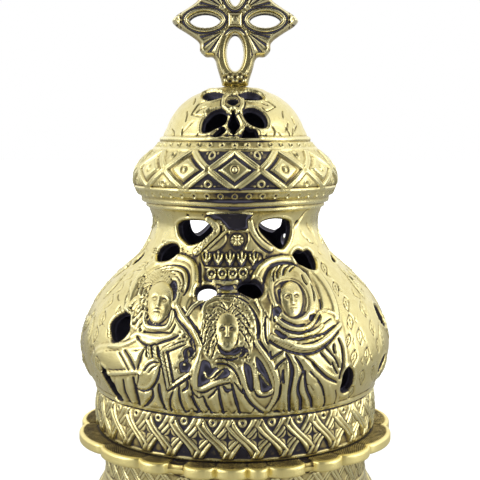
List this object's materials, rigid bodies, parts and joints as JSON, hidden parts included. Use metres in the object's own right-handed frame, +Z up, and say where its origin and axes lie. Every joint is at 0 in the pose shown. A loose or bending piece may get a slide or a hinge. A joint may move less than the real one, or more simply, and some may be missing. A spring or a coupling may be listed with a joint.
{
  "type": "censer",
  "caption": "Standing cast-brass censer: foot, knop, bowl with scalloped rim, lift-out ember pan, hinged pierced cover with a cross finial, and a loop handle at the back.",
  "frame": {"origin": "centre of the foot's underside, on the table plane", "axes": "+Z up along the turning axis; the front faces -Y; the hinge and the handle are at +Y; +X is to the right seen from the front"},
  "size_m": [0.1044, 0.1358, 0.2511],
  "materials": {
    "cast_brass": "polished cast brass with dark patina in the recesses",
    "rim_brass": "polished brass, worn bright at the lobes",
    "finial_brass": "polished cast brass, dark patina in the grooves",
    "hinge_brass": "satin brass",
    "pan_metal": "sooted, dull pressed brass",
    "steel_hardware": "dull zinc-plated steel"
  },
  "bodies": {
    "base": {"foot": "cast_brass", "base_plate": "cast_brass", "stem_knop": "cast_brass", "bowl": "cast_brass", "scalloped_rim": "rim_brass", "tie_rod": "steel_hardware", "foot_washer": "steel_hardware", "foot_nut": "steel_hardware", "bowl_washer": "steel_hardware", "bowl_nut": "steel_hardware", "bowl_hinge_leaf": "hinge_brass", "rim_screw_left": "steel_hardware", "rim_screw_right": "steel_hardware", "hinge_pin": "steel_hardware", "handle": "cast_brass", "handle_rivet_upper_left": "hinge_brass", "handle_rivet_upper_right": "hinge_brass", "handle_rivet_lower_left": "hinge_brass", "handle_rivet_lower_right": "hinge_brass"},
    "cover": {"cover": "cast_brass", "cross_finial": "finial_brass", "finial_washer": "steel_hardware", "finial_nut": "steel_hardware", "cover_hinge_leaf": "hinge_brass", "cover_rivet_left": "hinge_brass", "cover_rivet_right": "hinge_brass"},
    "ember_pan": {"ember_pan": "pan_metal"}
  },
  "joints": [
    {"name": "cover_hinge", "type": "hinge", "parent": "base", "child": "cover", "pos_m": [0, 0.0522, 0.0988], "axis": [-1, 0, 0], "range_deg": [0, 95]},
    {"name": "ember_pan_lift", "type": "slide", "parent": "base", "child": "ember_pan", "axis": [0, 0, 1], "range_m": [0, 0.03]}
  ]
}
